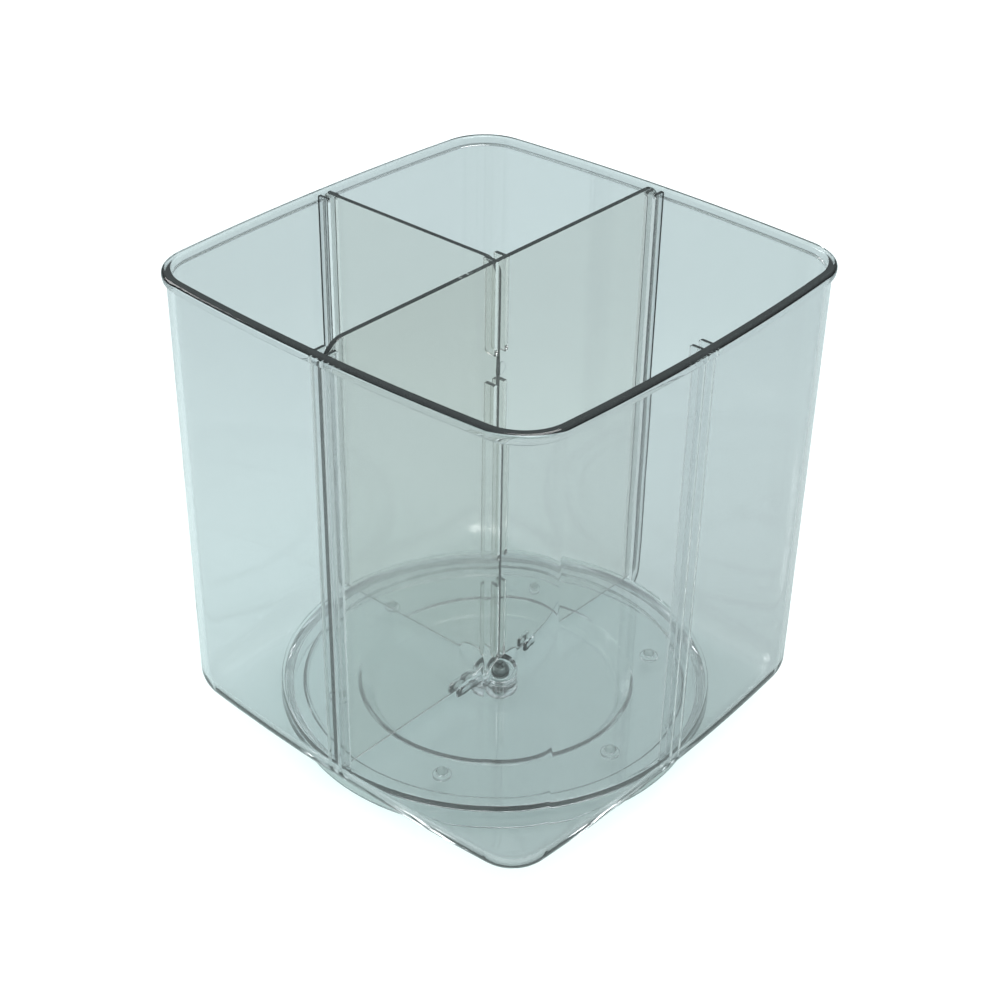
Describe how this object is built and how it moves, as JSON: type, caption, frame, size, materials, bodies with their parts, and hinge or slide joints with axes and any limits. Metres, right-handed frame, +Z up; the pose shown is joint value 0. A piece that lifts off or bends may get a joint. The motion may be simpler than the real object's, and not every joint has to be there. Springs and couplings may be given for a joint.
{
  "type": "rotating desk organizer",
  "caption": "Clear plastic square-bodied pen and brush holder with bowed sides, lift-out dividers and a low round turntable base that it spins on.",
  "frame": {"origin": "on the desk, at the turning axis, in the middle of the footprint", "axes": "+Z up along the turning axis; +Y along the long divider; -X towards the short divider, so that the empty guide slot is on the +X wall"},
  "size_m": [0.146, 0.146, 0.1515],
  "materials": {
    "bin_plastic": "polished clear injection-moulded polystyrene with a grey-green tint",
    "divider_plastic": "clear injection-moulded polystyrene, lightly scratched",
    "base_plastic": "clear injection-moulded polystyrene",
    "ball_plastic": "ground translucent plastic balls",
    "screw_steel": "bright zinc-plated steel"
  },
  "bodies": {
    "base": {"turntable_base": "base_plastic", "pivot_screw": "screw_steel", "pivot_washer": "screw_steel"},
    "bin": {"bin": "bin_plastic"},
    "long_divider": {"long_divider": "divider_plastic"},
    "short_divider": {"short_divider": "divider_plastic"},
    "ball_1": {"bearing_ball_1": "ball_plastic"},
    "ball_2": {"bearing_ball_2": "ball_plastic"},
    "ball_3": {"bearing_ball_3": "ball_plastic"},
    "ball_4": {"bearing_ball_4": "ball_plastic"},
    "ball_5": {"bearing_ball_5": "ball_plastic"},
    "ball_6": {"bearing_ball_6": "ball_plastic"}
  },
  "joints": [
    {"name": "bin_spin", "type": "hinge", "parent": "base", "child": "bin", "pos_m": [0, 0, 0], "axis": [0, 0, 1], "continuous": true},
    {"name": "long_divider_lift", "type": "slide", "parent": "bin", "child": "long_divider", "axis": [0, 0, 1], "range_m": [0, 0.14]},
    {"name": "short_divider_lift", "type": "slide", "parent": "bin", "child": "short_divider", "axis": [0, 0, 1], "range_m": [0, 0.14]},
    {"name": "ball_1_roll", "type": "hinge", "parent": "base", "child": "ball_1", "pos_m": [0.04953, -0.00521, 0.0069], "axis": [0.9945, -0.1045, 0], "continuous": true},
    {"name": "ball_2_roll", "type": "hinge", "parent": "base", "child": "ball_2", "pos_m": [0.02927, 0.04029, 0.0069], "axis": [0.5878, 0.809, 0], "continuous": true},
    {"name": "ball_3_roll", "type": "hinge", "parent": "base", "child": "ball_3", "pos_m": [-0.02025, 0.0455, 0.0069], "axis": [-0.4067, 0.9135, 0], "continuous": true},
    {"name": "ball_4_roll", "type": "hinge", "parent": "base", "child": "ball_4", "pos_m": [-0.04953, 0.00521, 0.0069], "axis": [-0.9945, 0.1045, 0], "continuous": true},
    {"name": "ball_5_roll", "type": "hinge", "parent": "base", "child": "ball_5", "pos_m": [-0.02927, -0.04029, 0.0069], "axis": [-0.5878, -0.809, 0], "continuous": true},
    {"name": "ball_6_roll", "type": "hinge", "parent": "base", "child": "ball_6", "pos_m": [0.02025, -0.0455, 0.0069], "axis": [0.4067, -0.9135, 0], "continuous": true}
  ],
  "couplings": [
    {"joint": "ball_1_roll", "follows": "bin_spin", "ratio": -31.125},
    {"joint": "ball_2_roll", "follows": "bin_spin", "ratio": -31.125},
    {"joint": "ball_3_roll", "follows": "bin_spin", "ratio": -31.125},
    {"joint": "ball_4_roll", "follows": "bin_spin", "ratio": -31.125},
    {"joint": "ball_5_roll", "follows": "bin_spin", "ratio": -31.125},
    {"joint": "ball_6_roll", "follows": "bin_spin", "ratio": -31.125}
  ]
}
